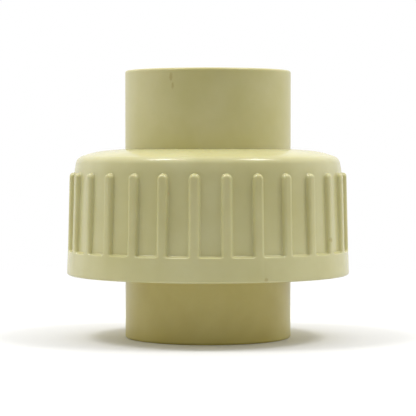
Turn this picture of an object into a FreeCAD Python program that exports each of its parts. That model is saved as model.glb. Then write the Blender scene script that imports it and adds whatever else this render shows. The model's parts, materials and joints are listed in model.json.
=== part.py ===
import FreeCAD
import Part
import math
import os

import Sketcher

# Pipe union for 25 mm (one inch) copper-tube-size CPVC pipe. Lengths are in millimetres.
#
# It stands on the rim of its lower socket, with +Z along the pipe line and z = 0 at that rim.
# From the bottom up it is a threaded end, whose face carries a rubber seal in a groove,
# a tail piece, whose flange is pulled down onto that seal, and a ribbed nut, whose lip holds
# the flange and whose thread runs on the threaded end. The nut is shown tight.

# Driving dimensions: (alias, value, what it is).
DIMENSIONS = [
    # Sockets and waterway
    ("total_length", 56.4, "length over both rims, with the nut tight"),
    ("socket_outer", 17.5, "outer radius of both sockets"),
    ("socket_bore", 14.35, "radius of both pipe sockets, for pipe 28.6 across"),
    ("socket_depth", 23.0, "depth from a rim to its pipe stop"),
    ("mouth_chamfer", 0.8, "lead-in at the mouth of a socket"),
    ("rim_round", 0.8, "rounding of a socket's outer rim"),
    ("waterway", 12.0, "radius of the way between the pipe stops"),
    ("waterway_chamfer", 0.5, "chamfer on the waterway where the halves meet"),
    # Tail piece
    ("stop_wall", 2.2, "wall between the tail piece's pipe stop and its face"),
    ("flange_radius", 22.6, "outer radius of the tail piece's flange"),
    ("flange_thickness", 4.65, "thickness of the tail piece's flange"),
    ("flange_round", 0.5, "rounding of the flange's edges"),
    ("flange_root_round", 0.6, "fillet between barrel and flange"),
    # Face seal and its groove
    ("face_gap", 0.1, "gap between the two faces that hold the seal"),
    ("groove_inner", 15.7, "inner radius of the seal's groove"),
    ("groove_outer", 19.3, "outer radius of the seal's groove"),
    ("groove_depth", 2.3, "depth of the seal's groove"),
    ("seal_width", 3.3, "width of the squeezed seal"),
    ("seal_gap", 0.02, "gap left over the squeezed seal"),
    # Threads, coarse right-hand trapezoids
    ("thread_pitch", 3.0, "rise of the thread in one turn"),
    ("crest_width", 1.0, "width of a thread's crest"),
    ("root_width", 1.9, "width of a thread's root"),
    ("thread_sunk", 0.3, "depth that a thread is sunk into its core"),
    ("male_core", 22.7, "core radius of the male thread"),
    ("male_crest", 24.2, "crest radius of the male thread"),
    ("male_start", 18.0, "level of the male thread's first crest"),
    ("male_turns", 4.0, "turns of the male thread"),
    ("male_lead", 1.7, "size of the lead-in cone at both ends of the male thread"),
    ("ring_underside", 17.0, "level of the threaded ring's underside"),
    ("ring_root_round", 1.2, "fillet between barrel and threaded ring"),
    ("nut_core", 24.5, "radius of the nut's bore behind its thread"),
    ("nut_crest", 23.0, "crest radius of the nut's thread"),
    ("nut_turns", 4.4, "turns of the nut's thread"),
    ("nut_thread_low", 3.2, "height in the nut at which its thread fades in"),
    ("nut_thread_high", 16.6, "height in the nut at which its thread has faded out"),
    # Nut, with heights from its lower edge
    ("nut_height", 26.5, "height of the nut at the hole in its lip"),
    ("nut_angle", 7.43, "turn of the nut's first rib from +X, in degrees"),
    ("seat_gap", 0.05, "gap between the nut's lip and the flange"),
    ("lip_bore", 17.85, "radius of the hole in the nut's lip"),
    ("lip_thickness", 4.0, "thickness of the lip at its hole"),
    ("lip_round", 0.3, "rounding of the edges of the lip's hole"),
    ("cavity_round", 0.8, "fillet in the corner under the lip"),
    ("dome_bend", 23.7, "radius at which the dome bends down towards the shoulder"),
    ("dome_ease", 0.5, "fall of the dome from the hole to that bend"),
    ("dome_drop", 1.6, "fall of the dome from the hole to the shoulder"),
    ("dome_round", 20.0, "rounding of the dome's bend"),
    ("shoulder_radius", 28.1, "radius of the wall at the shoulder"),
    ("shoulder_round", 2.2, "rounding of the shoulder"),
    ("wall_foot", 28.85, "radius of the wall's foot"),
    ("collar_height", 5.0, "height of the plain collar below the wall"),
    ("collar_bevel", 0.5, "height of the bevel between collar and wall"),
    ("collar_head", 29.70, "radius of the collar at its upper edge"),
    ("collar_foot", 29.89, "radius of the collar at its lower edge"),
    ("collar_round", 0.5, "rounding of the collar's lower edge"),
    ("mouth_radius", 24.9, "radius of the nut's mouth, below its thread"),
    ("mouth_height", 1.8, "height of the nut's mouth, below its thread"),
    ("mouth_bevel", 0.6, "bevel at the lower edge of the mouth"),
    # Grip ribs: a tapered cutter's path, from inside the wall to the crown
    ("rib_count", 28, "number of ribs around the nut"),
    ("rib_level", 20.5, "height in the nut of the centre of a rib's round end"),
    ("rib_length", 16.5, "length of a rib from that centre down into the collar"),
    ("rib_inside", 27.5, "radius at which a rib starts, inside the wall"),
    ("rib_crown", 29.31, "radius of a rib's crown at its round end"),
    ("rib_lean", 1.49, "angle by which a rib's crown widens downwards, in degrees"),
    ("rib_base_half", 1.22, "half the width of a rib where it starts"),
    ("rib_crown_half", 0.92, "half the width of a rib at its crown"),
    ("rib_round", 0.38, "rounding of the crown's edges"),
]

ORIGIN = (-1, 1)  # a sketch's own origin, as its constraints name it
START = 1  # the start point of a sketched edge, as constraints name it
END = 2  # the end point of a sketched edge
ROUGH_RADIUS = 0.1  # the radius that an arc is drawn with, before its dimension is set
PAST = 1.0  # how far a cutting section reaches past the solid that it cuts
FINE = 0.05  # how closely the facets that measure a solid follow it

# Levels that follow from the sheet, for expressions.
TAIL_FACE = "(Dims.total_length - Dims.socket_depth - Dims.stop_wall)"
END_FACE = f"({TAIL_FACE} - Dims.face_gap)"
GROOVE_FLOOR = f"({END_FACE} - Dims.groove_depth)"
SEAL_HEIGHT = "(Dims.groove_depth + Dims.face_gap - Dims.seal_gap)"
LIP_UNDERSIDE = "(Dims.nut_height - Dims.lip_thickness)"
NUT_LEVEL = f"({TAIL_FACE} + Dims.flange_thickness + Dims.seat_gap - {LIP_UNDERSIDE})"


def make_sheet(document):
    """The driving dimensions, one row each: what it is, its value and its alias."""
    sheet = document.addObject("Spreadsheet::Sheet", "Dims")
    for row, (alias, value, note) in enumerate(DIMENSIONS, start=1):
        sheet.set(f"A{row}", note)
        sheet.set(f"B{row}", str(value))
        sheet.setAlias(f"B{row}", alias)
    document.recompute()


def new_body(document, label, level):
    """A body whose own origin stands at a level on the pipe's axis."""
    body = document.addObject("PartDesign::Body", label)
    body.Label = label
    body.setExpression("Placement.Base.z", level)
    return body


def origin_feature(body, role):
    """One of a body's own origin planes or axes."""
    return next(feature for feature in body.Origin.OriginFeatures if feature.Role == role)


def attached_sketch(body, name, plane):
    """An empty sketch on one of a body's origin planes."""
    sketch = body.newObject("Sketcher::SketchObject", name)
    sketch.AttachmentSupport = (origin_feature(body, plane), [""])
    sketch.MapMode = "FlatFace"
    return sketch


def constrain(sketch, label, expression, *constraint):
    """Adds a named dimension that follows an expression on the sheet."""
    index = sketch.addConstraint(Sketcher.Constraint(*constraint))
    sketch.renameConstraint(index, label)
    sketch.setExpression(f"Constraints.{label}", expression)


def draw_outline(sketch, corners, rounded=(), radius=""):
    """Closes straight edges through named corners, each (name, across, up) with expressions.
    An arc of the given radius rounds each corner that is named as rounded."""
    count = len(corners)
    angles = [2 * math.pi * k / count for k in range(count)]
    rough = [FreeCAD.Vector(20 + 5 * math.cos(a), 20 + 5 * math.sin(a), 0) for a in angles]
    for k in range(count):
        sketch.addGeometry(Part.LineSegment(rough[k], rough[(k + 1) % count]))
    for k in range(count):
        sketch.addConstraint(Sketcher.Constraint("Coincident", k, END, (k + 1) % count, START))
    for k, (corner, across, up) in enumerate(corners):
        constrain(sketch, f"{corner}_across", across, "DistanceX", *ORIGIN, k, START, rough[k].x)
        constrain(sketch, f"{corner}_up", up, "DistanceY", *ORIGIN, k, START, rough[k].y)
    sketch.Document.recompute()
    for k, (corner, _across, _up) in enumerate(corners):
        if corner in rounded:
            # The fillet adds its arc, then a point that keeps the corner's dimensions.
            sketch.fillet(k, START, ROUGH_RADIUS, True, True)
            arc = sketch.GeometryCount - 2
            constrain(sketch, f"{corner}_round", radius, "Radius", arc, ROUGH_RADIUS)


def section(body, name, corners):
    """A sketch in the XZ plane, across from the axis and up along it."""
    sketch = attached_sketch(body, name, "XZ_Plane")
    draw_outline(sketch, corners)
    return sketch


def turn(body, kind, name, sketch):
    """A Revolution or a Groove of a section, all the way round the axis."""
    before = 0.0 if body.Tip is None else body.Tip.Shape.Volume
    feature = body.newObject(f"PartDesign::{kind}", name)
    feature.Profile = sketch
    feature.ReferenceAxis = (sketch, ["V_Axis"])
    feature.Angle = 360
    body.Document.recompute()
    if kind == "Groove" and feature.Shape.Volume >= before:
        raise RuntimeError(f"{name} cuts nothing")
    return feature


def swept_edges(feature, sketch, corners):
    """The round edges that the named corners of a turned section sweep."""
    names = []
    for corner in corners:
        radius = sketch.getDatum(f"{corner}_across").Value
        level = sketch.getDatum(f"{corner}_up").Value
        for number, edge in enumerate(feature.Shape.Edges, start=1):
            curve = edge.Curve
            if not isinstance(curve, Part.Circle):
                continue
            if abs(curve.Radius - radius) < 1e-4 and abs(curve.Center.z - level) < 1e-4:
                names.append(f"Edge{number}")
    return names


def dress_edges(body, feature, sketch, dressings):
    """Fillets and chamfers, each (kind, name, corners of the section, size)."""
    for kind, name, corners, size in dressings:
        edges = swept_edges(feature, sketch, corners)
        dressed = body.newObject(f"PartDesign::{kind}", name)
        dressed.Base = (feature, edges)
        dressed.setExpression("Radius" if kind == "Fillet" else "Size", size)
        body.Document.recompute()
        feature = dressed


def wind_thread(body, name, core, crest, sunk, start, turns):
    """A trapezoid ridge wound right-handed up the axis, its root sunk into the core."""
    root = f"{core} {sunk} Dims.thread_sunk"
    profile = section(body, f"{name}_section", [
        ("root_low", root, f"{start} - Dims.root_width / 2"),
        ("crest_low", crest, f"{start} - Dims.crest_width / 2"),
        ("crest_high", crest, f"{start} + Dims.crest_width / 2"),
        ("root_high", root, f"{start} + Dims.root_width / 2"),
    ])
    body.Document.recompute()
    ridge = body.newObject("PartDesign::AdditiveHelix", name)
    ridge.Profile = profile
    ridge.ReferenceAxis = (profile, ["V_Axis"])
    ridge.Mode = "pitch-turns-angle"
    ridge.setExpression("Pitch", "Dims.thread_pitch")
    ridge.setExpression("Turns", turns)
    body.Document.recompute()


def make_tail_piece(document):
    """Upper half: a pipe socket with a flange for the nut. Its origin is at its sealing face."""
    body = new_body(document, "tail_piece", TAIL_FACE)
    rim = "Dims.stop_wall + Dims.socket_depth"
    profile = section(body, "tail_section", [
        ("face_inner", "Dims.waterway", "0"),
        ("face_outer", "Dims.flange_radius", "0"),
        ("flange_outer", "Dims.flange_radius", "Dims.flange_thickness"),
        ("flange_root", "Dims.socket_outer", "Dims.flange_thickness"),
        ("rim_outer", "Dims.socket_outer", rim),
        ("rim_inner", "Dims.socket_bore", rim),
        ("stop_outer", "Dims.socket_bore", "Dims.stop_wall"),
        ("stop_inner", "Dims.waterway", "Dims.stop_wall"),
    ])
    turned = turn(body, "Revolution", "tail_turned", profile)
    dress_edges(body, turned, profile, [
        ("Chamfer", "tail_mouth", ["rim_inner"], "Dims.mouth_chamfer"),
        ("Chamfer", "tail_waterway", ["face_inner"], "Dims.waterway_chamfer"),
        ("Fillet", "tail_rim", ["rim_outer"], "Dims.rim_round"),
        ("Fillet", "tail_flange_edges", ["face_outer", "flange_outer"], "Dims.flange_round"),
        ("Fillet", "tail_flange_root", ["flange_root"], "Dims.flange_root_round"),
    ])
    return body


def make_threaded_end(document):
    """Lower half: a pipe socket under a threaded ring, with the seal's groove in its face."""
    body = new_body(document, "threaded_end", "0")
    profile = section(body, "end_section", [
        ("rim_inner", "Dims.socket_bore", "0"),
        ("rim_outer", "Dims.socket_outer", "0"),
        ("ring_root", "Dims.socket_outer", "Dims.ring_underside"),
        ("ring_low", "Dims.male_core", "Dims.ring_underside"),
        ("ring_high", "Dims.male_core", END_FACE),
        ("face_inner", "Dims.waterway", END_FACE),
        ("stop_inner", "Dims.waterway", "Dims.socket_depth"),
        ("stop_outer", "Dims.socket_bore", "Dims.socket_depth"),
    ])
    turned = turn(body, "Revolution", "end_turned", profile)
    dress_edges(body, turned, profile, [
        ("Chamfer", "end_mouth", ["rim_inner"], "Dims.mouth_chamfer"),
        ("Chamfer", "end_waterway", ["face_inner"], "Dims.waterway_chamfer"),
        ("Fillet", "end_rim", ["rim_outer"], "Dims.rim_round"),
        ("Fillet", "end_ring_root", ["ring_root"], "Dims.ring_root_round"),
    ])
    start = "Dims.male_start"
    wind_thread(body, "male_thread", "Dims.male_core", "Dims.male_crest", "-", start, "Dims.male_turns")
    # Cones cut both ends of the thread, so that it fades in at the face and out at the underside.
    cone_inner = "Dims.male_crest - Dims.male_lead"
    cone_outer = f"Dims.male_crest + {PAST}"
    for name, level, sign in (("thread_top", END_FACE, "+"), ("thread_foot", "Dims.ring_underside", "-")):
        opposite = "-" if sign == "+" else "+"
        cone = section(body, f"{name}_section", [
            ("cone_inner", cone_inner, level),
            ("cone_outer", cone_outer, f"{level} {opposite} (Dims.male_lead + {PAST})"),
            ("clear_outer", cone_outer, f"{level} {sign} 3 * {PAST}"),
            ("clear_inner", cone_inner, f"{level} {sign} 3 * {PAST}"),
        ])
        turn(body, "Groove", name, cone)
    groove = section(body, "groove_section", [
        ("floor_inner", "Dims.groove_inner", GROOVE_FLOOR),
        ("floor_outer", "Dims.groove_outer", GROOVE_FLOOR),
        ("clear_outer", "Dims.groove_outer", f"{END_FACE} + {PAST}"),
        ("clear_inner", "Dims.groove_inner", f"{END_FACE} + {PAST}"),
    ])
    turn(body, "Groove", "seal_groove", groove)
    return body


def make_face_seal(document):
    """The O-ring, squeezed flat above and below. Its origin is at the groove's floor."""
    body = new_body(document, "face_seal", GROOVE_FLOOR)
    middle = "(Dims.groove_inner + Dims.groove_outer) / 2"
    inner = f"{middle} - Dims.seal_width / 2"
    outer = f"{middle} + Dims.seal_width / 2"
    profile = section(body, "seal_section", [
        ("low_inner", inner, "0"),
        ("low_outer", outer, "0"),
        ("high_outer", outer, SEAL_HEIGHT),
        ("high_inner", inner, SEAL_HEIGHT),
    ])
    turned = turn(body, "Revolution", "seal_turned", profile)
    corners = ["low_inner", "low_outer", "high_outer", "high_inner"]
    # Just under half the height, so that a narrow land is left between two roundings.
    dress_edges(body, turned, profile, [("Fillet", "seal_sides", corners, f"{SEAL_HEIGHT} * 0.49")])
    return body


def make_union_nut(document):
    """The nut: domed lip, ribbed wall, plain collar and thread. Its origin is at its lower edge."""
    body = new_body(document, "union_nut", NUT_LEVEL)
    body.setExpression("Placement.Rotation.Angle", "Dims.nut_angle")
    wall_foot = "Dims.collar_height + Dims.collar_bevel"
    profile = section(body, "nut_section", [
        ("lip_low", "Dims.lip_bore", LIP_UNDERSIDE),
        ("cavity_corner", "Dims.nut_core", LIP_UNDERSIDE),
        ("bore_foot", "Dims.nut_core", "Dims.mouth_height"),
        ("mouth_step", "Dims.mouth_radius", "Dims.mouth_height"),
        ("mouth_edge", "Dims.mouth_radius", "0"),
        ("collar_edge", "Dims.collar_foot", "0"),
        ("collar_head", "Dims.collar_head", "Dims.collar_height"),
        ("wall_low", "Dims.wall_foot", wall_foot),
        ("shoulder", "Dims.shoulder_radius", "Dims.nut_height - Dims.dome_drop"),
        ("dome_bend", "Dims.dome_bend", "Dims.nut_height - Dims.dome_ease"),
        ("lip_high", "Dims.lip_bore", "Dims.nut_height"),
    ])
    turned = turn(body, "Revolution", "nut_turned", profile)
    dress_edges(body, turned, profile, [
        ("Chamfer", "nut_mouth", ["mouth_edge"], "Dims.mouth_bevel"),
        ("Fillet", "nut_shoulder", ["shoulder"], "Dims.shoulder_round"),
        ("Fillet", "nut_dome", ["dome_bend"], "Dims.dome_round"),
        ("Fillet", "nut_collar", ["collar_edge"], "Dims.collar_round"),
        ("Fillet", "nut_lip", ["lip_low", "lip_high"], "Dims.lip_round"),
        ("Fillet", "nut_cavity", ["cavity_corner"], "Dims.cavity_round"),
    ])
    add_ribs(body)
    # The nut's ridge lies midway between two turns of the male ridge, whatever the nut's own turn.
    share = "(0.5 - Dims.nut_angle / 360)"
    start = f"(Dims.male_start - Dims.thread_pitch * {share} - {NUT_LEVEL})"
    wind_thread(body, "nut_thread", "Dims.nut_core", "Dims.nut_crest", "+", start, "Dims.nut_turns")
    depth = "(Dims.nut_core - Dims.nut_crest)"
    crest_clear = f"Dims.nut_crest - {PAST}"
    ends = (("thread_entry", "Dims.nut_thread_low", "+"), ("thread_end", "Dims.nut_thread_high", "-"))
    for name, level, sign in ends:
        opposite = "-" if sign == "+" else "+"
        cone = section(body, f"{name}_section", [
            ("cone_outer", "Dims.nut_core", level),
            ("cone_inner", crest_clear, f"{level} {sign} ({depth} + {PAST})"),
            ("clear_inner", crest_clear, f"{level} {opposite} {depth}"),
            ("clear_outer", "Dims.nut_core", f"{level} {opposite} {depth}"),
        ])
        turn(body, "Groove", name, cone)
    return body


def rib_sketch(body, name, corners):
    """A sketch across a rib at its round end: out from the axis, and along the wall."""
    sketch = attached_sketch(body, name, "XY_Plane")
    tilt = FreeCAD.Rotation(FreeCAD.Vector(0, 1, 0), 1)
    sketch.AttachmentOffset = FreeCAD.Placement(FreeCAD.Vector(), tilt)
    sketch.setExpression("AttachmentOffset.Base.z", "Dims.rib_level")
    sketch.setExpression("AttachmentOffset.Rotation.Angle", "-Dims.rib_lean")
    draw_outline(sketch, corners, ("crown_left", "crown_right"), "Dims.rib_round")
    return sketch


def add_ribs(body):
    """Grip ribs, shaped as a tapered cutter leaves them in a mould: a straight pass with a round end."""
    document = body.Document
    bar = rib_sketch(body, "rib_section", [
        ("base_left", "Dims.rib_inside", "-Dims.rib_base_half"),
        ("crown_left", "Dims.rib_crown", "-Dims.rib_crown_half"),
        ("crown_right", "Dims.rib_crown", "Dims.rib_crown_half"),
        ("base_right", "Dims.rib_inside", "Dims.rib_base_half"),
    ])
    end = rib_sketch(body, "rib_end_section", [
        ("base_middle", "Dims.rib_inside", "0"),
        ("crown_middle", "Dims.rib_crown", "0"),
        ("crown_right", "Dims.rib_crown", "Dims.rib_crown_half"),
        ("base_right", "Dims.rib_inside", "Dims.rib_base_half"),
    ])
    document.recompute()
    straight = body.newObject("PartDesign::Pad", "rib_bar")
    straight.Profile = bar
    straight.Reversed = True
    straight.setExpression("Length", "Dims.rib_length")
    rounded = body.newObject("PartDesign::Revolution", "rib_end")
    rounded.Profile = end
    rounded.ReferenceAxis = (end, ["H_Axis"])
    rounded.Angle = 180
    document.recompute()
    ring = body.newObject("PartDesign::PolarPattern", "rib_ring")
    ring.Originals = [straight, rounded]
    ring.Axis = (origin_feature(body, "Z_Axis"), [""])
    ring.Angle = 360
    ring.setExpression("Occurrences", "Dims.rib_count")
    body.Tip = ring
    document.recompute()


def check(document, bodies):
    """Stops on any object that failed to recompute and on any unsound solid."""
    for item in document.Objects:
        if "Invalid" in item.State or "Error" in item.State:
            raise RuntimeError(f"{item.Name} failed: {item.State}")
    for body in bodies:
        shape = body.Shape
        if shape.isNull() or not shape.isValid() or len(shape.Solids) != 1:
            raise RuntimeError(f"{body.Label} is not one sound solid")
        points, _facets = shape.tessellate(FINE)
        if max(math.hypot(point.x, point.y) for point in points) > document.Dims.collar_foot + FINE:
            raise RuntimeError(f"{body.Label} stands out past the nut's collar, the widest place")


def main():
    document = FreeCAD.newDocument("pipe_union")
    make_sheet(document)
    bodies = [
        make_threaded_end(document),
        make_face_seal(document),
        make_tail_piece(document),
        make_union_nut(document),
    ]
    document.recompute()
    check(document, bodies)
    os.makedirs("parts", exist_ok=True)
    for body in bodies:
        body.Shape.exportStep(f"parts/{body.Label}.step")
        print(f"{body.Label}: {body.Shape.Volume:.0f} mm3")


main()
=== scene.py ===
import json
import math

import bmesh
import bpy
from mathutils import Matrix, Vector


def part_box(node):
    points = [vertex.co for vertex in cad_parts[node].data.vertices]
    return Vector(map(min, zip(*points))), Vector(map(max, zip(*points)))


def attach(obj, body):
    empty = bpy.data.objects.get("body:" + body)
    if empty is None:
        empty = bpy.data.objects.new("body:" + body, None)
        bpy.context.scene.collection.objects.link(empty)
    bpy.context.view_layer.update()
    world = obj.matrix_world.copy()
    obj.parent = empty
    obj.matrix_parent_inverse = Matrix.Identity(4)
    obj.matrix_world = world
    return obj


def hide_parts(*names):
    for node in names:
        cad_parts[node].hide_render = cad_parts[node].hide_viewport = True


bl_info = {
    "name": "Pipe Union",
    "version": (1, 0, 0),
    "blender": (4, 5, 0),
    "location": "View3D > Sidebar > Pipe Union",
    "description": "Builds a moulded plastic pipe union around its packed frame",
    "category": "Add Mesh",
}

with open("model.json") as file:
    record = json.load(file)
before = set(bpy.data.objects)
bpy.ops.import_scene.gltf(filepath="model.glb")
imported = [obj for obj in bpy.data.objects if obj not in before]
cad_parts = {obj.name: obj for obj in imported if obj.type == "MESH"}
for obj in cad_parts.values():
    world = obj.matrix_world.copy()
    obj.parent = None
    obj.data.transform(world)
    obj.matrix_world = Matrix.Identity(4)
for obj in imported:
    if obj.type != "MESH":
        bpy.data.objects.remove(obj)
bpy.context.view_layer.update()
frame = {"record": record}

MM = 0.001  # one millimetre, in Blender's metres
TINY = 0.002 * MM  # two points nearer than this are the same point

# What the frame says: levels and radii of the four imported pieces.
RIM_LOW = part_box("threaded_end")[0].z
END_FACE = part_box("threaded_end")[1].z
THREAD_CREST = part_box("threaded_end")[1].x
TAIL_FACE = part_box("tail_piece")[0].z
RIM_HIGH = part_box("tail_piece")[1].z
FLANGE_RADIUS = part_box("tail_piece")[1].x
NUT_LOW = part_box("union_nut")[0].z
NUT_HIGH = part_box("union_nut")[1].z
NUT_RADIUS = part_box("union_nut")[1].x
SEAL_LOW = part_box("face_seal")[0].z
SEAL_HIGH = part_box("face_seal")[1].z
SEAL_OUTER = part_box("face_seal")[1].x
MOUNTS = {mount["name"]: mount for mount in frame["record"]["mounts"]}
SOCKET_BORE = MOUNTS["upper_socket"]["dims"]["r_mm"] * MM

ROUND_STEPS = 168  # facets around every turned piece
SMOOTH_ANGLE = math.radians(35)  # edges sharper than this stay sharp
RIB_END_STEPS = 12  # facets around a rib's round end
LEDGE_ROWS = 6  # rows of facets down the ledge above the collar

# Small marks of use, in millimetres: (turn round the axis in degrees, level, size in x, y and z, depth).
SCRATCHES = (
    (-115.5, 54.6, (0.5, 0.4, 1.3), 0.01),
    (-114.2, 52.9, (0.4, 0.3, 1.0), 0.01),
)
PIT = (-32.1, 21.3, (0.7, 0.7, 0.7), 0.06)
PIT_RADIUS = 29.5  # on a rib's flank
NICK = (-67.2, 14.0, (0.5, 0.5, 0.5), 0.03)
NICK_RADIUS = 29.7  # at the collar's lower edge
DENT_TURN = math.radians(-68)  # the same nick, pressed into the edge itself
DENT_REACH = 0.9 * MM
DENT_DEPTH = 0.3 * MM

# Softboxes: (name, place, side in metres, watts). They all face the piece's middle.
LIGHTS = (
    ("top_left_light", (-0.25, -0.06, 0.6), 0.15, 1.1),
    ("top_right_light", (0.27, -0.06, 0.6), 0.15, 1.1),
    ("left_light", (-0.7, 0.15, 0.25), 0.8, 0.42),
    ("right_light", (0.7, 0.15, 0.25), 0.8, 0.48),
    ("front_light", (0, -0.8, 0.1), 0.6, 0.15),
)
LIT_POINT = (0, 0, 0.03)


def length(name, description, millimetres):
    """A size that a user can change, in metres, with its default given in millimetres."""
    return bpy.props.FloatProperty(
        name=name, description=description, default=millimetres * MM,
        min=0.0, unit="LENGTH", precision=5,
    )


def turn_angle(name, description, degrees):
    """An angle that a user can change, in radians, with its default given in degrees."""
    return bpy.props.FloatProperty(
        name=name, description=description, default=math.radians(degrees), subtype="ANGLE",
    )


def plain_number(name, description, default):
    """A plain number that a user can change, never below zero."""
    return bpy.props.FloatProperty(name=name, description=description, default=default, min=0.0)


def colour(name, description, hex_code):
    """A colour that a user can change, with its default given as an sRGB hex code."""
    return bpy.props.FloatVectorProperty(
        name=name, description=description, default=linear(hex_code),
        size=3, min=0.0, max=1.0, subtype="COLOR",
    )


def linear(hex_code):
    """An sRGB hex code as linear red, green and blue."""
    channels = [int(hex_code[k:k + 2], 16) / 255 for k in (0, 2, 4)]
    return [c / 12.92 if c <= 0.04045 else ((c + 0.055) / 1.055) ** 2.4 for c in channels]


class SocketSizes(bpy.types.PropertyGroup):
    barrel: length("Barrel radius", "Outer radius of both pipe sockets", 17.5)
    bore: length("Bore radius", "Radius of both pipe sockets", SOCKET_BORE / MM)
    depth: length("Socket depth", "Depth from a rim to its pipe stop", 23.0)
    waterway: length("Waterway radius", "Radius of the way between the pipe stops", 12.0)
    rim_round: length("Rim rounding", "Rounding of a socket's outer rim", 0.5)
    mouth_round: length("Mouth rounding", "Rounding of a socket's inner rim", 0.7)
    stop_round: length("Stop rounding", "Fillet in the corner at a pipe stop", 0.3)
    edge_round: length("Edge rounding", "Rounding of the waterway's edges", 0.4)
    flange_thickness: length("Flange thickness", "Thickness of the tail piece's flange", 4.65)
    flange_round: length("Flange rounding", "Rounding of the flange's edges", 0.5)
    flange_root: length("Flange root", "Fillet between barrel and flange", 0.6)


class ThreadSizes(bpy.types.PropertyGroup):
    pitch: length("Pitch", "Rise of the thread in one turn", 3.0)
    crest_width: length("Crest width", "Width of a thread's crest", 1.0)
    root_width: length("Root width", "Width of a thread's root", 1.9)
    male_core: length("Male core", "Core radius of the male thread", 22.7)
    male_start: length("Male start", "Level of the male thread's first crest", 18.0)
    male_turns: plain_number("Male turns", "Turns of the male thread", 4.0)
    nut_turns: plain_number("Nut turns", "Turns of the nut's thread", 4.4)
    ring_underside: length("Ring underside", "Level of the threaded ring's underside", 17.0)
    ring_root: length("Ring root", "Fillet between barrel and threaded ring", 1.2)
    ring_low_round: length("Ring's lower rounding", "Rounding of the threaded ring's lower edge", 0.3)
    ring_high_round: length("Ring's upper rounding", "Rounding of the threaded ring's upper edge", 0.6)
    nut_core: length("Nut core", "Radius of the nut's bore behind its thread", 24.5)
    nut_crest: length("Nut crest", "Crest radius of the nut's thread", 23.0)
    crest_round: length("Crest rounding", "Rounding of a thread's crest", 0.15)
    sunk: length("Sunk", "Depth that a thread is sunk into its core", 0.3)
    fade_turns: plain_number("Fade", "Turns over which a thread fades in and out", 0.15)
    groove_inner: length("Groove inner", "Inner radius of the seal's groove", 15.7)
    groove_outer: length("Groove outer", "Outer radius of the seal's groove", 19.3)
    groove_edge: length("Groove edge", "Rounding of the groove's edges", 0.25)
    groove_corner: length("Groove corner", "Fillet in the groove's corners", 0.4)
    flash: length("Flash", "Height of the raised line that the mould leaves on the seal", 0.05)


class NutSizes(bpy.types.PropertyGroup):
    rib_count: bpy.props.IntProperty(name="Ribs", description="Number of grip ribs", default=28, min=6)
    turned: turn_angle("Turn", "Turn of the first rib from +X", 7.43)
    draft: turn_angle("Draft", "Slope of the wall and the collar", 2.19)
    lip_bore: length("Lip bore", "Radius of the hole in the lip", 17.85)
    lip_thickness: length("Lip thickness", "Thickness of the lip at its hole", 4.0)
    shoulder: length("Shoulder radius", "Radius of the wall at the shoulder if it kept its slope", 28.1)
    shoulder_lean: length("Shoulder lean", "How far the wall leans in above the ribs", 0.35)
    shoulder_round: length("Shoulder rounding", "Rounding of the shoulder", 2.0)
    lip_round: length("Lip rounding", "Rounding of the edges of the lip's hole", 0.3)
    cavity_round: length("Cavity rounding", "Fillet in the corner under the lip", 0.8)
    dome_bend: length("Dome bend", "Radius at which the dome bends down towards the shoulder", 23.7)
    dome_ease: length("Dome ease", "Fall of the dome from the hole to that bend", 0.5)
    dome_drop: length("Dome drop", "Fall of the dome from the hole to the shoulder", 1.85)
    dome_round: length("Dome rounding", "Rounding of the dome's bend", 20.0)
    collar_height: length("Collar height", "Height of the plain collar", 5.0)
    collar_round: length("Collar rounding", "Rounding of the collar's lower edge", 0.5)
    collar_step: length("Collar step", "How far the collar stands out from the wall", 0.83)
    ledge: length("Ledge", "Height over which the wall steps out to the collar", 0.5)
    ledge_drop: length("Ledge drop", "How far the ledge starts below its full height over the collar", 0.1)
    land: length("Land", "Plain strip under the ledge, where its curve has died out", 0.15)
    panel_corner: length("Panel corner", "Rounding of a panel's lower corners", 0.06)
    mouth: length("Mouth radius", "Radius of the nut's mouth, below its thread", 24.9)
    mouth_height: length("Mouth height", "Height of the nut's mouth, below its thread", 1.8)
    mouth_bevel: length("Mouth bevel", "Bevel at the lower edge of the mouth", 0.6)
    mouth_round: length("Mouth rounding", "Rounding where the bore steps out to the mouth", 0.15)
    rib_top: length("Rib end", "Height in the nut of the centre of a rib's round end", 20.5)
    rib_height: length("Rib height", "Height of a rib's crown over the wall at its round end", 1.04)
    rib_crown_half: length("Rib crown half", "Half the width of a rib at its crown", 0.92)
    rib_base_half: length("Rib base half", "Half the width of a rib at the wall", 1.09)
    rib_round: length("Rib rounding", "Rounding of a rib's crown", 0.65)
    rib_root: length("Rib root", "Fillet between rib and wall", 0.2)


class Colours(bpy.types.PropertyGroup):
    cream: colour("Cream", "The nut's CPVC", "DCD7A3")
    cream_deep: colour("Deep cream", "The nut's CPVC where it is a little more yellow", "D4CE95")
    straw: colour("Straw", "The tail piece's CPVC, from a warmer batch", "D9D29A")
    straw_deep: colour("Deep straw", "The tail piece's CPVC where it is a little more yellow", "D0C988")
    # The threaded end sits under the nut. Its two colours are deeper and yellower than the other pieces'
    # partly as its own tint and partly as painted shade, standing in for the shade and yellow bounce light
    # that it gets under the nut.
    honey_with_painted_shade: colour("Honey", "The threaded end's CPVC, a little more yellow still", "DCCF7F")
    honey_deep_with_painted_shade: colour("Deep honey", "The threaded end's CPVC at its yellowest", "D2C26E")
    stain: colour("Stain", "Old marks in the surface", "B09A50")
    rubber: colour("Rubber", "EPDM rubber's own colour", "17181A")
    rubber_bloom: colour("Rubber bloom", "Grey bloom on the rubber", "2E2F31")
    floor: colour("Floor", "Plain pale floor", "F4F4F4")


class StageSettings(bpy.types.PropertyGroup):
    distance: length("Camera distance", "Distance from the camera to the axis", 392)
    eye_level: length("Eye level", "Height of the camera", 39.7)
    pitch: turn_angle("Pitch", "How far the camera looks down", 1.8)
    lens: plain_number("Lens", "Focal length in millimetres", 160)
    floor_radius: length("Floor radius", "Radius of the floor, past where it has faded out", 1500)


# ---------------------------------------------------------------- modelling


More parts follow.
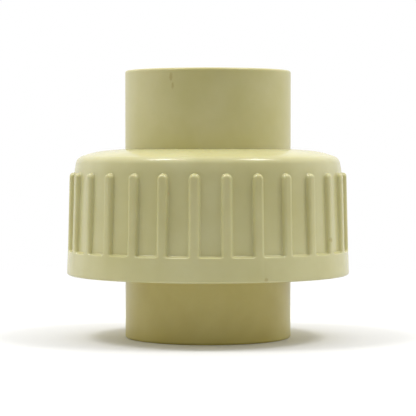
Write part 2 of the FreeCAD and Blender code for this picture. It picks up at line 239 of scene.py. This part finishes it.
def rounded_path(corners, steps=6):
    """Points along straight runs whose corners, each (radius, level, rounding), are rounded by arcs."""
    points = []
    for k, (across, up, rounding) in enumerate(corners):
        corner = Vector((across, up))
        if rounding == 0 or k in (0, len(corners) - 1):
            points.append(corner)
            continue
        back = (Vector(corners[k - 1][:2]) - corner).normalized()
        ahead = (Vector(corners[k + 1][:2]) - corner).normalized()
        half = back.angle(ahead) / 2
        centre = corner + (back + ahead).normalized() * (rounding / math.sin(half))
        start = corner + back * (rounding / math.tan(half)) - centre
        sweep = start.angle_signed(corner + ahead * (rounding / math.tan(half)) - centre)
        for step in range(steps + 1):
            arm = start.copy()
            arm.rotate(Matrix.Rotation(-sweep * step / steps, 2))
            points.append(centre + arm)
    return points


def new_point(name, place):
    """A new piece that is one vertex, left in edit mode."""
    bpy.ops.object.select_all(action="DESELECT")
    bpy.ops.mesh.primitive_plane_add(size=MM, location=place)
    piece = bpy.context.object
    piece.name = name
    piece.data.name = name
    bpy.ops.object.transform_apply(location=True, rotation=True, scale=True)
    bpy.ops.object.mode_set(mode="EDIT")
    bpy.ops.mesh.select_mode(type="VERT")
    bpy.ops.mesh.select_all(action="SELECT")
    bpy.ops.mesh.merge(type="CENTER")
    return piece


def extrude_to(places):
    """Extrudes the selection from the first of some places to each of the next."""
    for here, there in zip(places, places[1:]):
        bpy.ops.mesh.extrude_region_move(TRANSFORM_OT_translate={"value": there - here})


def select_where(piece, test):
    """Selects the vertices whose place passes a test, with the edges and faces between them."""
    bpy.ops.mesh.select_mode(type="VERT")
    bpy.ops.mesh.select_all(action="DESELECT")
    shape = bmesh.from_edit_mesh(piece.data)
    for vertex in shape.verts:
        vertex.select = test(vertex.co)
    shape.select_flush(True)
    bmesh.update_edit_mesh(piece.data)


def finish_surface(piece):
    """Welds doubled points, turns every face outwards and shades the piece smooth up to an angle."""
    bpy.ops.mesh.select_all(action="SELECT")
    bpy.ops.mesh.remove_doubles(threshold=TINY)
    bpy.ops.mesh.normals_make_consistent(inside=False)
    bpy.ops.object.mode_set(mode="OBJECT")
    bpy.ops.object.shade_smooth_by_angle(angle=SMOOTH_ANGLE)


def turned_piece(name, corners, steps=6):
    """A closed outline of corners (radius, level, rounding), drawn by extrusion and spun about the axis."""
    wrapped = [corners[-1], *corners, corners[0]]
    path = rounded_path(wrapped, steps)[1:-1]
    places = [Vector((across, 0, up)) for across, up in path]
    piece = new_point(name, places[0])
    extrude_to([*places, places[0]])
    bpy.ops.mesh.select_all(action="SELECT")
    bpy.ops.mesh.remove_doubles(threshold=TINY)
    bpy.ops.mesh.spin(steps=ROUND_STEPS, angle=math.tau, center=(0, 0, 0), axis=(0, 0, 1))
    finish_surface(piece)
    return piece


def helical_ridge(name, core, crest, start, turns, threads):
    """A closed trapezoid ridge, wound right-handed about the axis, whose two ends sink into the core."""
    sunk = core - math.copysign(threads.sunk, crest - core)
    places = [Vector((across, 0, up)) for across, up in rounded_path([
        (sunk, start - threads.root_width / 2, 0),
        (crest, start - threads.crest_width / 2, threads.crest_round),
        (crest, start + threads.crest_width / 2, threads.crest_round),
        (sunk, start + threads.root_width / 2, 0),
    ], 2)]
    ridge = new_point(name, places[0])
    extrude_to([*places, places[0]])
    bpy.ops.mesh.select_all(action="SELECT")
    bpy.ops.mesh.remove_doubles(threshold=TINY)
    bpy.ops.object.mode_set(mode="OBJECT")
    bpy.ops.object.modifier_add(type="SCREW")
    screw = ridge.modifiers[-1]
    screw.axis = "Z"
    screw.angle = math.tau * turns
    screw.screw_offset = threads.pitch * turns
    screw.steps = round(ROUND_STEPS * turns)
    screw.render_steps = screw.steps
    bpy.ops.object.modifier_apply(modifier=screw.name)
    sink_ends(ridge, sunk, crest, start, turns, threads)
    bpy.ops.object.mode_set(mode="EDIT")
    bpy.ops.mesh.select_mode(type="EDGE")
    bpy.ops.mesh.select_all(action="DESELECT")
    bpy.ops.mesh.select_non_manifold()
    bpy.ops.mesh.edge_face_add()
    finish_surface(ridge)
    return ridge


def sink_ends(ridge, sunk, crest, start, turns, threads):
    """Scales the first and last stretch of a ridge towards its root, so that the thread fades in and out."""
    ring = len(ridge.data.vertices) // (round(ROUND_STEPS * turns) + 1)
    for number, vertex in enumerate(ridge.data.vertices):
        along = (number // ring) / ROUND_STEPS
        share = min(along, turns - along) / threads.fade_turns
        if share < 1:
            middle = start + threads.pitch * along
            radius = math.hypot(vertex.co.x, vertex.co.y)
            wanted = sunk + (radius - sunk) * share
            vertex.co.x *= wanted / radius
            vertex.co.y *= wanted / radius
            vertex.co.z = middle + (vertex.co.z - middle) * (0.4 + 0.6 * share)


def weld(piece, addition):
    """Joins a closed shape onto a piece as one solid."""
    bpy.ops.object.select_all(action="DESELECT")
    piece.select_set(True)
    bpy.context.view_layer.objects.active = piece
    bpy.ops.object.modifier_add(type="BOOLEAN")
    union = piece.modifiers[-1]
    union.operation = "UNION"
    union.solver = "EXACT"
    union.object = addition
    bpy.ops.object.modifier_apply(modifier=union.name)
    bpy.data.objects.remove(addition)


# ---------------------------------------------------------------- the four pieces


def tail_piece(sockets):
    """Upper half: a pipe socket with a flange under the nut's lip."""
    stop = RIM_HIGH - sockets.depth
    flange_top = TAIL_FACE + sockets.flange_thickness
    return turned_piece("tail_piece_moulding", [
        (sockets.waterway, TAIL_FACE, sockets.edge_round),
        (FLANGE_RADIUS, TAIL_FACE, sockets.flange_round),
        (FLANGE_RADIUS, flange_top, sockets.flange_round),
        (sockets.barrel, flange_top, sockets.flange_root),
        (sockets.barrel, RIM_HIGH, sockets.rim_round),
        (sockets.bore, RIM_HIGH, sockets.mouth_round),
        (sockets.bore, stop, sockets.stop_round),
        (sockets.waterway, stop, sockets.edge_round),
    ])


def threaded_end(sockets, threads):
    """Lower half: a pipe socket under a threaded ring, with the seal's groove in its face."""
    stop = RIM_LOW + sockets.depth
    ring = turned_piece("threaded_end_moulding", [
        (sockets.bore, RIM_LOW, sockets.mouth_round),
        (sockets.barrel, RIM_LOW, sockets.rim_round),
        (sockets.barrel, threads.ring_underside, threads.ring_root),
        (threads.male_core, threads.ring_underside, threads.ring_low_round),
        (threads.male_core, END_FACE, threads.ring_high_round),
        (threads.groove_outer, END_FACE, threads.groove_edge),
        (threads.groove_outer, SEAL_LOW, threads.groove_corner),
        (threads.groove_inner, SEAL_LOW, threads.groove_corner),
        (threads.groove_inner, END_FACE, threads.groove_edge),
        (sockets.waterway, END_FACE, sockets.edge_round),
        (sockets.waterway, stop, sockets.edge_round),
        (sockets.bore, stop, sockets.stop_round),
    ])
    ridge = helical_ridge("male_ridge", threads.male_core, THREAD_CREST, threads.male_start,
                          threads.male_turns, threads)
    weld(ring, ridge)
    bpy.ops.object.shade_smooth_by_angle(angle=SMOOTH_ANGLE)
    return ring


def face_seal(threads):
    """The squeezed O-ring, with the fine raised line that its mould's two halves leave around it."""
    middle = (threads.groove_inner + threads.groove_outer) / 2
    half = SEAL_OUTER - middle
    level = (SEAL_LOW + SEAL_HIGH) / 2
    side = 0.42 * (SEAL_HIGH - SEAL_LOW)  # rounding of the squeezed section's sides
    flash = threads.flash
    return turned_piece("face_seal_ring", [
        (middle - half, SEAL_LOW, side),
        (middle + half, SEAL_LOW, side),
        (middle + half - flash, level - flash, 0),
        (middle + half, level, 0),
        (middle + half - flash, level + flash, 0),
        (middle + half, SEAL_HIGH, side),
        (middle - half, SEAL_HIGH, side),
        (middle - half + flash, level + flash, 0),
        (middle - half, level, 0),
        (middle - half + flash, level - flash, 0),
    ], 8)


class NutShape:
    """Levels, radii and slopes of the nut that follow from its sizes.
    One rib's sector is modelled flat, with x out from the axis and y around it."""

    def __init__(self, sizes):
        self.tip = NUT_LOW + sizes.rib_top
        self.slope = math.tan(sizes.draft)
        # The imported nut's height is taken where its lip's edge is already rounded, below the sharp edge.
        fall = sizes.dome_ease / (sizes.dome_bend - sizes.lip_bore)
        self.lip = NUT_HIGH + sizes.lip_round * (fall + math.hypot(1, fall) - 1)
        self.shoulder = self.lip - sizes.dome_drop
        self.wall = sizes.shoulder + self.slope * (self.shoulder - self.tip)
        self.half = self.wall * math.pi / sizes.rib_count
        self.foot = self.wall + sizes.collar_step + self.slope * (self.tip - NUT_LOW)
        self.rise = sizes.rib_base_half + 2 * sizes.rib_root


def union_nut(sizes, threads):
    """The nut: one flat sector, copied, wrapped round the axis, dented and threaded."""
    shape = NutShape(sizes)
    nut, root_end = new_sector("union_nut_moulding", sizes, shape)
    extend_down(nut, sizes, shape, root_end)
    close_sector(nut, sizes, shape, threads.nut_core)
    bpy.ops.object.mode_set(mode="OBJECT")
    bpy.ops.object.modifier_add(type="ARRAY")
    copies = nut.modifiers[-1]
    copies.count = sizes.rib_count
    copies.use_relative_offset = False
    copies.use_constant_offset = True
    copies.constant_offset_displace = (0, 2 * shape.half, 0)
    bpy.ops.object.modifier_apply(modifier=copies.name)
    wrap(nut, shape.wall, sizes.turned)
    dent(nut, DENT_TURN, shape.foot, NUT_LOW, DENT_REACH, DENT_DEPTH)
    bpy.ops.object.mode_set(mode="EDIT")
    finish_surface(nut)
    # The two threads touch nowhere: the nut's ridge runs midway between two turns of the male one.
    start = threads.male_start - threads.pitch * (0.5 - sizes.turned / math.tau)
    ridge = helical_ridge("nut_ridge", threads.nut_core, threads.nut_crest, start, threads.nut_turns, threads)
    weld(nut, ridge)
    bpy.ops.object.shade_smooth_by_angle(angle=SMOOTH_ANGLE)
    return nut


def new_sector(name, sizes, shape):
    """A sector's rib end, in edit mode, and how far from its middle the fillet at the rib's root reaches."""
    crown = shape.wall + sizes.rib_height
    section = rounded_path([
        (crown, 0, 0),
        (crown, sizes.rib_crown_half, sizes.rib_round),
        (shape.wall, sizes.rib_base_half, sizes.rib_root),
        (shape.wall, shape.half, 0),
    ], 4)
    root_end = section[-2].y
    section.insert(1, Vector((crown, section[1].y / 2)))
    for share in (0.15, 0.4, 0.7, 1.0):
        section.insert(-1, Vector((shape.wall, root_end + share * sizes.panel_corner)))
    places = [Vector((out, along, shape.tip)) for out, along in section]
    nut = new_point(name, places[0])
    extrude_to(places)
    # The round end: the half section turns about the line that runs out through the end's centre.
    bpy.ops.mesh.select_all(action="SELECT")
    bpy.ops.mesh.spin(steps=RIB_END_STEPS, angle=-math.pi, center=(0, 0, shape.tip), axis=(1, 0, 0))
    bpy.ops.mesh.select_all(action="SELECT")
    bpy.ops.mesh.remove_doubles(threshold=TINY)
    square_off(nut, shape.tip, shape.half, shape.rise)
    return nut, root_end


def extend_down(nut, sizes, shape, root_end):
    """Extends a sector by the rib's straight run, the ledge on which wall and rib pass into the collar,
    and the collar."""
    ledge_top = NUT_LOW + sizes.collar_height + sizes.ledge - sizes.ledge_drop
    collar = shape.wall + sizes.collar_step
    select_where(nut, lambda co: abs(co.z - shape.tip) < TINY)
    extrude_down(shape.tip - ledge_top, sizes.collar_step / sizes.rib_height, shape.wall)
    standing = 1.0
    for row in range(1, LEDGE_ROWS + 1):
        share = row / LEDGE_ROWS
        left = 1 - share * share * (3 - 2 * share)
        extrude_down(sizes.ledge / LEDGE_ROWS, left / standing, collar)
        standing = left
    extrude_down(sizes.land, 1, shape.wall)
    extrude_down(ledge_top - sizes.ledge - sizes.land - NUT_LOW - sizes.collar_round, 1, shape.wall)
    round_panel_corners(nut, ledge_top, sizes.ledge, sizes.panel_corner, root_end)
    lean_wall(nut, shape.tip, shape.slope)


def close_sector(nut, sizes, shape, bore):
    """Gives a sector its collar's edge, its dome, lip and bore, and the flat underside that joins them."""
    low = min_level(nut)
    edge = rounded_path([
        (shape.foot - shape.slope * (low - NUT_LOW), low, 0),
        (shape.foot, NUT_LOW, 0.99 * sizes.collar_round),
        (shape.foot - 3 * sizes.collar_round, NUT_LOW, 0),
    ])
    select_where(nut, lambda co: co.z < low + TINY)
    extrude_to([Vector((out, 0, up)) for out, up in edge])
    high = shape.tip + shape.rise
    lip_underside = shape.lip - sizes.lip_thickness
    mouth_top = NUT_LOW + sizes.mouth_height
    inside = rounded_path([
        (shape.wall - shape.slope * shape.rise, high, 0),
        (sizes.shoulder - sizes.shoulder_lean, shape.shoulder, sizes.shoulder_round),
        (sizes.dome_bend, shape.lip - sizes.dome_ease, sizes.dome_round),
        (sizes.lip_bore, shape.lip, sizes.lip_round),
        (sizes.lip_bore, lip_underside, sizes.lip_round),
        (bore, lip_underside, sizes.cavity_round),
        (bore, mouth_top, sizes.mouth_round),
        (sizes.mouth, mouth_top, sizes.mouth_round),
        (sizes.mouth, NUT_LOW + sizes.mouth_bevel, 0),
        (sizes.mouth + sizes.mouth_bevel, NUT_LOW, 0),
    ], 8)
    select_where(nut, lambda co: co.z > high - TINY)
    extrude_to([Vector((out, 0, up)) for out, up in inside])
    select_where(nut, lambda co: co.z < NUT_LOW + TINY)
    bpy.ops.mesh.select_mode(type="EDGE")
    select_rims(nut, NUT_LOW)
    bpy.ops.mesh.bridge_edge_loops()


def extrude_down(depth, squeeze, fixed):
    """Extrudes the selected edge of a flat sector downwards and squeezes it in x towards a fixed plane."""
    bpy.ops.mesh.extrude_region_move(TRANSFORM_OT_translate={"value": (0, 0, -depth)})
    bpy.ops.transform.resize(value=(squeeze, 1, 1), center_override=(fixed, 0, 0))


def select_rims(piece, level):
    """Selects the open edges of a flat sector that run along y at a level."""
    shape = bmesh.from_edit_mesh(piece.data)
    for edge in shape.edges:
        first, second = edge.verts
        level_run = abs(first.co.z - level) < TINY and abs(second.co.z - level) < TINY
        edge.select = edge.is_boundary and level_run and abs(first.co.x - second.co.x) < TINY
    bmesh.update_edit_mesh(piece.data)


def min_level(piece):
    """The level of a piece's lowest vertex, in edit mode."""
    return min(vertex.co.z for vertex in bmesh.from_edit_mesh(piece.data).verts)


def square_off(piece, tip, half, rise):
    """Pulls the outermost half circle of a sector out to a rectangle, half wide and rise high."""
    shape = bmesh.from_edit_mesh(piece.data)
    for vertex in shape.verts:
        along, up = vertex.co.y, vertex.co.z - tip
        if abs(math.hypot(along, up) - half) < TINY:
            reach = max(abs(along), abs(up))
            vertex.co.y = along / reach * half
            vertex.co.z = tip + up / reach * rise
    bmesh.update_edit_mesh(piece.data)


def round_panel_corners(piece, ledge_top, ledge, corner, root_end):
    """Lifts a sector's ledge towards its rib, so that the panel between two ribs has round lower corners."""
    shape = bmesh.from_edit_mesh(piece.data)
    for vertex in shape.verts:
        if ledge_top - ledge - TINY < vertex.co.z < ledge_top + TINY:
            inside = max(0.0, corner - max(0.0, abs(vertex.co.y) - root_end))
            vertex.co.z += corner - math.sqrt(corner * corner - inside * inside)
    bmesh.update_edit_mesh(piece.data)


def lean_wall(piece, tip, slope):
    """Gives a sector's wall its draft, so that it widens downwards."""
    shape = bmesh.from_edit_mesh(piece.data)
    for vertex in shape.verts:
        vertex.co.x += slope * (tip - vertex.co.z)
    bmesh.update_edit_mesh(piece.data)


def wrap(piece, radius, turned):
    """Wraps a flat row of sectors round the axis: x stays the distance from it, and y becomes the angle."""
    for vertex in piece.data.vertices:
        out = vertex.co.x
        angle = vertex.co.y / radius + turned
        vertex.co.x = out * math.cos(angle)
        vertex.co.y = out * math.sin(angle)


def dent(piece, angle, radius, level, reach, depth):
    """Presses a small dent into a piece's outer edge, as where the mould's two halves left a nick."""
    centre = Vector((radius * math.cos(angle), radius * math.sin(angle), level))
    inwards = Vector((-math.cos(angle), -math.sin(angle), 0))
    for vertex in piece.data.vertices:
        share = (vertex.co - centre).length / reach
        if share < 1:
            vertex.co += inwards * depth * (1 - share * share) ** 2


# ---------------------------------------------------------------- materials


def add_node(tree, kind, settings=None, inputs=None):
    """Adds a shader node. A setting is an attribute, and an input is a value or another node's output."""
    node = tree.nodes.new(kind)
    for key, value in (settings or {}).items():
        setattr(node, key, value)
    for key, value in (inputs or {}).items():
        if isinstance(value, bpy.types.NodeSocket):
            tree.links.new(value, node.inputs[key])
        else:
            node.inputs[key].default_value = value
    return node


def new_material(name):
    """An empty node material, with its Principled shader and its Object coordinates."""
    material = bpy.data.materials.new(name)
    material.use_nodes = True
    tree = material.node_tree
    shader = tree.nodes["Principled BSDF"]
    place = add_node(tree, "ShaderNodeTexCoord").outputs["Object"]
    return material, tree, shader, place


def per_mm(millimetres):
    """The scale of a texture whose features are this far apart."""
    return 1 / (millimetres * MM)


def noise(tree, place, millimetres, detail=2.0, roughness=0.5, seed=0.0):
    """Noise with features of a real size. A seed moves it, so that two patterns don't match."""
    moved = add_node(tree, "ShaderNodeVectorMath", {"operation": "ADD"}, {
        0: place, 1: (seed, 2 * seed, 3 * seed),
    })
    return add_node(tree, "ShaderNodeTexNoise", {}, {
        "Vector": moved.outputs[0], "Scale": per_mm(millimetres), "Detail": detail, "Roughness": roughness,
    }).outputs["Fac"]


def remap(tree, value, low, high, to_low, to_high):
    """A value taken from one range to another, clamped."""
    return add_node(tree, "ShaderNodeMapRange", {}, {
        "Value": value, "From Min": low, "From Max": high, "To Min": to_low, "To Max": to_high,
    }).outputs["Result"]


def blend_colours(tree, factor, first, second):
    """Two colours mixed by a pattern."""
    ends = [end if isinstance(end, bpy.types.NodeSocket) else (*end, 1) for end in (first, second)]
    inputs = {"Factor": factor, 6: ends[0], 7: ends[1]}  # sockets 6 and 7 are the colours A and B
    return add_node(tree, "ShaderNodeMix", {"data_type": "RGBA"}, inputs).outputs[2]


def add_bumps(tree, shader, bumps):
    """Stacks bumps on a shader, each (height, depth in millimetres)."""
    normal = None
    for height, depth in bumps:
        inputs = {"Height": height, "Distance": depth * MM, "Strength": 1.0}
        if normal is not None:
            inputs["Normal"] = normal
        normal = add_node(tree, "ShaderNodeBump", {}, inputs).outputs["Normal"]
    tree.links.new(normal, shader.inputs["Normal"])


def mark(tree, place, centre, size):
    """One where a small mark is, and nothing beyond its size, each in millimetres along x, y and z."""
    offset = add_node(tree, "ShaderNodeVectorMath", {"operation": "SUBTRACT"}, {
        0: place, 1: [c * MM for c in centre],
    })
    scaled = add_node(tree, "ShaderNodeVectorMath", {"operation": "DIVIDE"}, {
        0: offset.outputs[0], 1: [c * MM for c in size],
    })
    reach = add_node(tree, "ShaderNodeVectorMath", {"operation": "LENGTH"}, {0: scaled.outputs[0]})
    ragged = add_node(tree, "ShaderNodeMath", {"operation": "ADD"}, {
        0: reach.outputs["Value"], 1: noise(tree, place, 0.6, 2, 0.6),
    })
    return remap(tree, ragged.outputs[0], 0.9, 1.4, 1.0, 0.0)


def moulded_cpvc(name, first, second, seed, gloss, marks=(), stain=None):
    """CPVC, injection moulded in a polished tool: an even cream with a soft gloss.
    The eye gets a faint cloudiness in the colour, highlights that waver a little where the skin
    has sunk, and fine upright drag lines from the piece's way out of the mould. Marks, each
    (centre, size, depth), are scars and pits from handling, a little browner than the rest."""
    material, tree, shader, place = new_material(name)
    clouds = noise(tree, place, 14, 3, 0.55, seed)
    grain = noise(tree, place, 0.9, 2, 0.5, seed + 0.11)
    upright = add_node(tree, "ShaderNodeMapping", {}, {"Vector": place, "Scale": (1, 1, 0.03)})
    drag = noise(tree, upright.outputs[0], 0.7, 3, 0.6, seed + 0.23)
    tint = blend_colours(tree, remap(tree, clouds, 0.35, 0.65, 0, 1), first, second)
    shade = remap(tree, grain, 0.3, 0.7, 0.0, 0.12)
    base = blend_colours(tree, shade, tint, second)
    skin = noise(tree, place, 4.5, 1, 0.4, seed + 0.31)
    bumps = [(skin, 0.010), (drag, 0.0008)]
    for centre, size, depth in marks:
        scar = mark(tree, place, centre, size)
        base = blend_colours(tree, remap(tree, scar, 0, 1, 0, 0.4), base, stain)
        bumps.append((remap(tree, scar, 0, 1, 1, 0), depth))
    tree.links.new(base, shader.inputs["Base Color"])
    tree.links.new(remap(tree, drag, 0.3, 0.7, gloss, gloss + 0.06), shader.inputs["Roughness"])
    shader.inputs["IOR"].default_value = 1.53
    shader.inputs["Subsurface Weight"].default_value = 0.25
    shader.inputs["Subsurface Radius"].default_value = (1.0, 0.8, 0.45)
    shader.inputs["Subsurface Scale"].default_value = 1.2 * MM
    add_bumps(tree, shader, bumps)
    return material


def moulded_rubber(name, colours):
    """EPDM rubber, compression moulded: near black and matt, with a dusty grey bloom and a fine pebble."""
    material, tree, shader, place = new_material(name)
    bloom = remap(tree, noise(tree, place, 4, 4, 0.6, 0.7), 0.4, 0.7, 0, 1)
    base = blend_colours(tree, bloom, colours.rubber, colours.rubber_bloom)
    tree.links.new(base, shader.inputs["Base Color"])
    tree.links.new(remap(tree, bloom, 0, 1, 0.5, 0.75), shader.inputs["Roughness"])
    shader.inputs["IOR"].default_value = 1.52
    add_bumps(tree, shader, [(noise(tree, place, 0.25, 2, 0.5, 0.9), 0.006)])
    return material


def painted_floor(name, colours):
    """Matt emulsion paint on a smooth board: even and pale, with no gloss that would mirror the piece.
    It throws a quarter less light back up than it shows. It fades out a good way off, so that no far
    edge shows, and it isn't there from below, so that the underside can be seen."""
    material, tree, shader, place = new_material(name)
    mottle = remap(tree, noise(tree, place, 60, 2, 0.5, 0.2), 0.3, 0.7, 0.0, 1.0)
    darker = [channel * 0.985 for channel in colours.floor]
    base = blend_colours(tree, mottle, colours.floor, darker)
    dim = [channel * 0.76 for channel in colours.floor]
    shader.inputs["Roughness"].default_value = 0.9
    seen = add_node(tree, "ShaderNodeLightPath").outputs["Is Camera Ray"]
    tree.links.new(blend_colours(tree, seen, dim, base), shader.inputs["Base Color"])
    reach = add_node(tree, "ShaderNodeVectorMath", {"operation": "LENGTH"}, {0: place}).outputs["Value"]
    fade = add_node(tree, "ShaderNodeMapRange", {"interpolation_type": "SMOOTHSTEP"}, {
        "Value": reach, "From Min": 0.05, "From Max": 0.25, "To Min": 1.0, "To Max": 0.0,
    })
    below = add_node(tree, "ShaderNodeNewGeometry").outputs["Backfacing"]
    one_sided = add_node(tree, "ShaderNodeMath", {"operation": "SUBTRACT", "use_clamp": True}, {
        0: fade.outputs["Result"], 1: below,
    })
    tree.links.new(one_sided.outputs[0], shader.inputs["Alpha"])
    return material


# ---------------------------------------------------------------- stage


def soft_light(name, place, target, size, watts):
    """A square softbox that faces a point."""
    bpy.ops.object.light_add(type="AREA", location=place)
    light = bpy.context.object
    light.name = name
    light.data.shape = "SQUARE"
    light.data.size = size
    light.data.energy = watts
    light.rotation_euler = (Vector(target) - Vector(place)).to_track_quat("-Z", "Y").to_euler()


def studio_light(dim, bright):
    """Light from all round, bright above and behind the piece, dim in front, and white to the camera."""
    world = bpy.data.worlds.new("studio")
    bpy.context.scene.world = world
    world.use_nodes = True
    tree = world.node_tree
    toward = add_node(tree, "ShaderNodeTexCoord").outputs["Generated"]
    up_and_back = add_node(tree, "ShaderNodeVectorMath", {"operation": "DOT_PRODUCT"}, {
        0: toward, 1: (0, 0.6, 0.8),
    })
    glow = add_node(tree, "ShaderNodeMapRange", {"interpolation_type": "SMOOTHSTEP"}, {
        "Value": up_and_back.outputs["Value"],
        "From Min": -0.35, "From Max": 0.75, "To Min": dim, "To Max": bright,
    })
    seen = add_node(tree, "ShaderNodeLightPath").outputs["Is Camera Ray"]
    strength = add_node(tree, "ShaderNodeMix", {"data_type": "FLOAT"}, {
        0: seen, 2: glow.outputs["Result"], 3: 1.0,
    })
    tree.nodes["Background"].inputs["Color"].default_value = (1, 1, 1, 1)
    tree.links.new(strength.outputs[0], tree.nodes["Background"].inputs["Strength"])


def build_stage(settings, colours):
    """A pale floor, soft light and the camera."""
    bpy.ops.object.select_all(action="DESELECT")
    bpy.ops.mesh.primitive_circle_add(
        vertices=96, radius=settings.floor_radius, fill_type="NGON", location=(0, 0, RIM_LOW)
    )
    floor = bpy.context.object
    floor.name = "floor"
    floor.data.materials.append(painted_floor("matt emulsion paint", colours))
    for name, place, size, watts in LIGHTS:
        soft_light(name, place, LIT_POINT, size, watts)
    studio_light(0.13, 1.05)
    bpy.ops.object.camera_add(location=(0, -settings.distance, settings.eye_level))
    camera = bpy.context.object
    camera.name = "camera"
    camera.rotation_euler = (math.pi / 2 - settings.pitch, 0, 0)
    camera.data.lens = settings.lens
    camera.data.sensor_width = 36
    camera.data.clip_start = 10 * MM
    bpy.context.scene.camera = camera
    bpy.context.scene.view_settings.view_transform = "Standard"


# ---------------------------------------------------------------- operators


def around(radius, mark_row):
    """A mark at a radius, for a material: its centre, size and depth, in millimetres."""
    degrees, level, size, depth = mark_row
    angle = math.radians(degrees)
    return (radius * math.cos(angle), radius * math.sin(angle), level), size, depth


def finish_piece(piece, material, body, node):
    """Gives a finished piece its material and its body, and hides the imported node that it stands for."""
    piece.data.materials.clear()
    piece.data.materials.append(material)
    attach(piece, body)
    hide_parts(node)


class PIPEUNION_OT_tail_piece(bpy.types.Operator):
    """Models the tail piece, the union's upper half"""
    bl_idname = "pipe_union.tail_piece"
    bl_label = "Tail piece"

    def execute(self, context):
        scene = context.scene
        colours = scene.union_colours
        piece = tail_piece(scene.union_sockets)
        marks = [around(scene.union_sockets.barrel / MM, scratch) for scratch in SCRATCHES]
        material = moulded_cpvc("CPVC, moulded, tail piece", colours.straw, colours.straw_deep, 0.1, 0.3,
                                marks, colours.stain)
        finish_piece(piece, material, "tail", "tail_piece")
        return {"FINISHED"}


class PIPEUNION_OT_threaded_end(bpy.types.Operator):
    """Models the threaded end, the union's lower half"""
    bl_idname = "pipe_union.threaded_end"
    bl_label = "Threaded end"

    def execute(self, context):
        scene = context.scene
        colours = scene.union_colours
        piece = threaded_end(scene.union_sockets, scene.union_threads)
        # The threaded end's colours carry painted shade from under the nut, as well as its own tint.
        material = moulded_cpvc("CPVC, moulded, threaded end", colours.honey_with_painted_shade, colours.honey_deep_with_painted_shade, 0.4, 0.3)
        finish_piece(piece, material, "threaded_half", "threaded_end")
        return {"FINISHED"}


class PIPEUNION_OT_face_seal(bpy.types.Operator):
    """Models the O-ring between the two faces"""
    bl_idname = "pipe_union.face_seal"
    bl_label = "Face seal"

    def execute(self, context):
        scene = context.scene
        piece = face_seal(scene.union_threads)
        material = moulded_rubber("EPDM rubber, moulded", scene.union_colours)
        finish_piece(piece, material, "threaded_half", "face_seal")
        return {"FINISHED"}


class PIPEUNION_OT_union_nut(bpy.types.Operator):
    """Models the ribbed union nut"""
    bl_idname = "pipe_union.union_nut"
    bl_label = "Union nut"

    def execute(self, context):
        scene = context.scene
        colours = scene.union_colours
        piece = union_nut(scene.union_nut, scene.union_threads)
        marks = [around(PIT_RADIUS, PIT), around(NICK_RADIUS, NICK)]
        material = moulded_cpvc("CPVC, moulded, nut", colours.cream, colours.cream_deep, 0.7, 0.2, marks,
                                colours.stain)
        finish_piece(piece, material, "nut", "union_nut")
        return {"FINISHED"}


class PIPEUNION_OT_stage(bpy.types.Operator):
    """Sets up the floor, the lights and the camera"""
    bl_idname = "pipe_union.stage"
    bl_label = "Stage"

    def execute(self, context):
        build_stage(context.scene.union_stage, context.scene.union_colours)
        return {"FINISHED"}


class PIPEUNION_PT_panel(bpy.types.Panel):
    """Lists the union's sizes, colours and building steps"""
    bl_idname = "PIPEUNION_PT_panel"
    bl_label = "Pipe Union"
    bl_space_type = "VIEW_3D"
    bl_region_type = "UI"
    bl_category = "Pipe Union"

    def draw(self, context):
        for group in GROUPS:
            box = self.layout.box()
            settings = getattr(context.scene, group)
            for key in settings.bl_rna.properties.keys():
                if key not in ("rna_type", "name"):
                    box.prop(settings, key)
        for operator in OPERATORS:
            self.layout.operator(operator.bl_idname)


GROUPS = {
    "union_sockets": SocketSizes,
    "union_threads": ThreadSizes,
    "union_nut": NutSizes,
    "union_colours": Colours,
    "union_stage": StageSettings,
}
OPERATORS = (
    PIPEUNION_OT_stage,
    PIPEUNION_OT_threaded_end,
    PIPEUNION_OT_face_seal,
    PIPEUNION_OT_tail_piece,
    PIPEUNION_OT_union_nut,
)


def register():
    for kind in (*GROUPS.values(), *OPERATORS, PIPEUNION_PT_panel):
        bpy.utils.register_class(kind)
    for name, group in GROUPS.items():
        setattr(bpy.types.Scene, name, bpy.props.PointerProperty(type=group))


def unregister():
    for name in GROUPS:
        delattr(bpy.types.Scene, name)
    for kind in reversed((*GROUPS.values(), *OPERATORS, PIPEUNION_PT_panel)):
        bpy.utils.unregister_class(kind)


def main():
    register()
    bpy.ops.pipe_union.stage()
    bpy.ops.pipe_union.threaded_end()
    bpy.ops.pipe_union.face_seal()
    bpy.ops.pipe_union.tail_piece()
    bpy.ops.pipe_union.union_nut()


if __name__ == "__main__":
    main()
